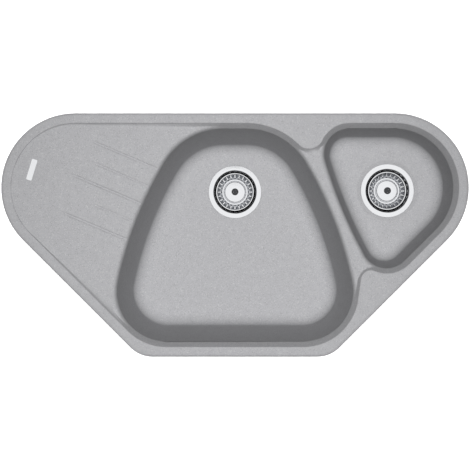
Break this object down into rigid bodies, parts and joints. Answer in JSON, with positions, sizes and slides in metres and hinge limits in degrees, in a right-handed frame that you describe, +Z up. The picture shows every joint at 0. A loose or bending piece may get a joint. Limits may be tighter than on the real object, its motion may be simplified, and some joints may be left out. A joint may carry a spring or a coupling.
{
  "type": "corner kitchen sink",
  "caption": "Inset corner sink of grey granite composite with a drainer, a large and a small bowl, basket wastes and swinging fixing clips.",
  "frame": {"origin": "middle of the sink in plan, at the height of the worktop's top face, which is the underside of the rim", "axes": "+X along the long edge, the drainer being on the -X side, +Y towards the long edge, +Z up"},
  "size_m": [0.96, 0.5, 0.2932],
  "materials": {
    "composite": "matt, fine grained",
    "badge": "satin, blank",
    "foam": "closed-cell foam",
    "rubber": "matt",
    "nylon": "moulded",
    "polypropylene": "moulded, satin",
    "knob": "moulded, gloss",
    "stainless": "polished stainless",
    "zinc": "zinc plated"
  },
  "bodies": {
    "sink": {"sink_body": "composite", "main_bowl": "composite", "side_bowl": "composite", "badge_plate": "badge", "rim_seal": "foam", "clip_plugs": "nylon", "clip_screws": "zinc", "main_waste_flange": "stainless", "main_flange_gasket": "rubber", "main_lower_gasket": "rubber", "main_waste_body": "polypropylene", "main_waste_screw": "stainless", "side_waste_flange": "stainless", "side_flange_gasket": "rubber", "side_lower_gasket": "rubber", "side_waste_body": "polypropylene", "side_waste_screw": "stainless"},
    "main_plug_stem": {"main_basket_stem": "stainless", "main_basket_knob": "knob"},
    "main_strainer": {"main_basket": "stainless", "main_basket_seal": "rubber"},
    "side_plug_stem": {"side_basket_stem": "stainless", "side_basket_knob": "knob"},
    "side_strainer": {"side_basket": "stainless", "side_basket_seal": "rubber"},
    "claw_1": {"clip_claw_1": "zinc"},
    "claw_2": {"clip_claw_2": "zinc"},
    "claw_3": {"clip_claw_3": "zinc"},
    "claw_4": {"clip_claw_4": "zinc"},
    "claw_5": {"clip_claw_5": "zinc"},
    "claw_6": {"clip_claw_6": "zinc"},
    "claw_7": {"clip_claw_7": "zinc"},
    "claw_8": {"clip_claw_8": "zinc"}
  },
  "joints": [
    {"name": "main_basket_lift", "type": "slide", "parent": "sink", "child": "main_plug_stem", "axis": [0, 0, 1], "range_m": [0, 0.225]},
    {"name": "main_basket_turn", "type": "hinge", "parent": "main_plug_stem", "child": "main_strainer", "pos_m": [0, 0.0915, -0.185], "axis": [0, 0, 1], "continuous": true},
    {"name": "side_basket_lift", "type": "slide", "parent": "sink", "child": "side_plug_stem", "axis": [0, 0, 1], "range_m": [0, 0.165]},
    {"name": "side_basket_turn", "type": "hinge", "parent": "side_plug_stem", "child": "side_strainer", "pos_m": [0.32, 0.093, -0.125], "axis": [0, 0, 1], "continuous": true},
    {"name": "claw_1_swing", "type": "hinge", "parent": "sink", "child": "claw_1", "pos_m": [-0.2976, 0.2315, -0.0428], "axis": [0, 0, 1], "range_deg": [0, 90]},
    {"name": "claw_2_swing", "type": "hinge", "parent": "sink", "child": "claw_2", "pos_m": [-0.1056, 0.2315, -0.0428], "axis": [0, 0, 1], "range_deg": [0, 90]},
    {"name": "claw_3_swing", "type": "hinge", "parent": "sink", "child": "claw_3", "pos_m": [0.096, 0.2315, -0.0428], "axis": [0, 0, 1], "range_deg": [0, 90]},
    {"name": "claw_4_swing", "type": "hinge", "parent": "sink", "child": "claw_4", "pos_m": [0.3168, 0.2315, -0.0428], "axis": [0, 0, 1], "range_deg": [0, 90]},
    {"name": "claw_5_swing", "type": "hinge", "parent": "sink", "child": "claw_5", "pos_m": [0, -0.2315, -0.0428], "axis": [0, 0, 1], "range_deg": [0, 90]},
    {"name": "claw_6_swing", "type": "hinge", "parent": "sink", "child": "claw_6", "pos_m": [-0.39798, -0.02152, -0.0428], "axis": [0, 0, 1], "range_deg": [0, 90]},
    {"name": "claw_7_swing", "type": "hinge", "parent": "sink", "child": "claw_7", "pos_m": [-0.27664, -0.14287, -0.0428], "axis": [0, 0, 1], "range_deg": [0, 90]},
    {"name": "claw_8_swing", "type": "hinge", "parent": "sink", "child": "claw_8", "pos_m": [0.31635, -0.10315, -0.0428], "axis": [0, 0, 1], "range_deg": [0, 90]}
  ]
}
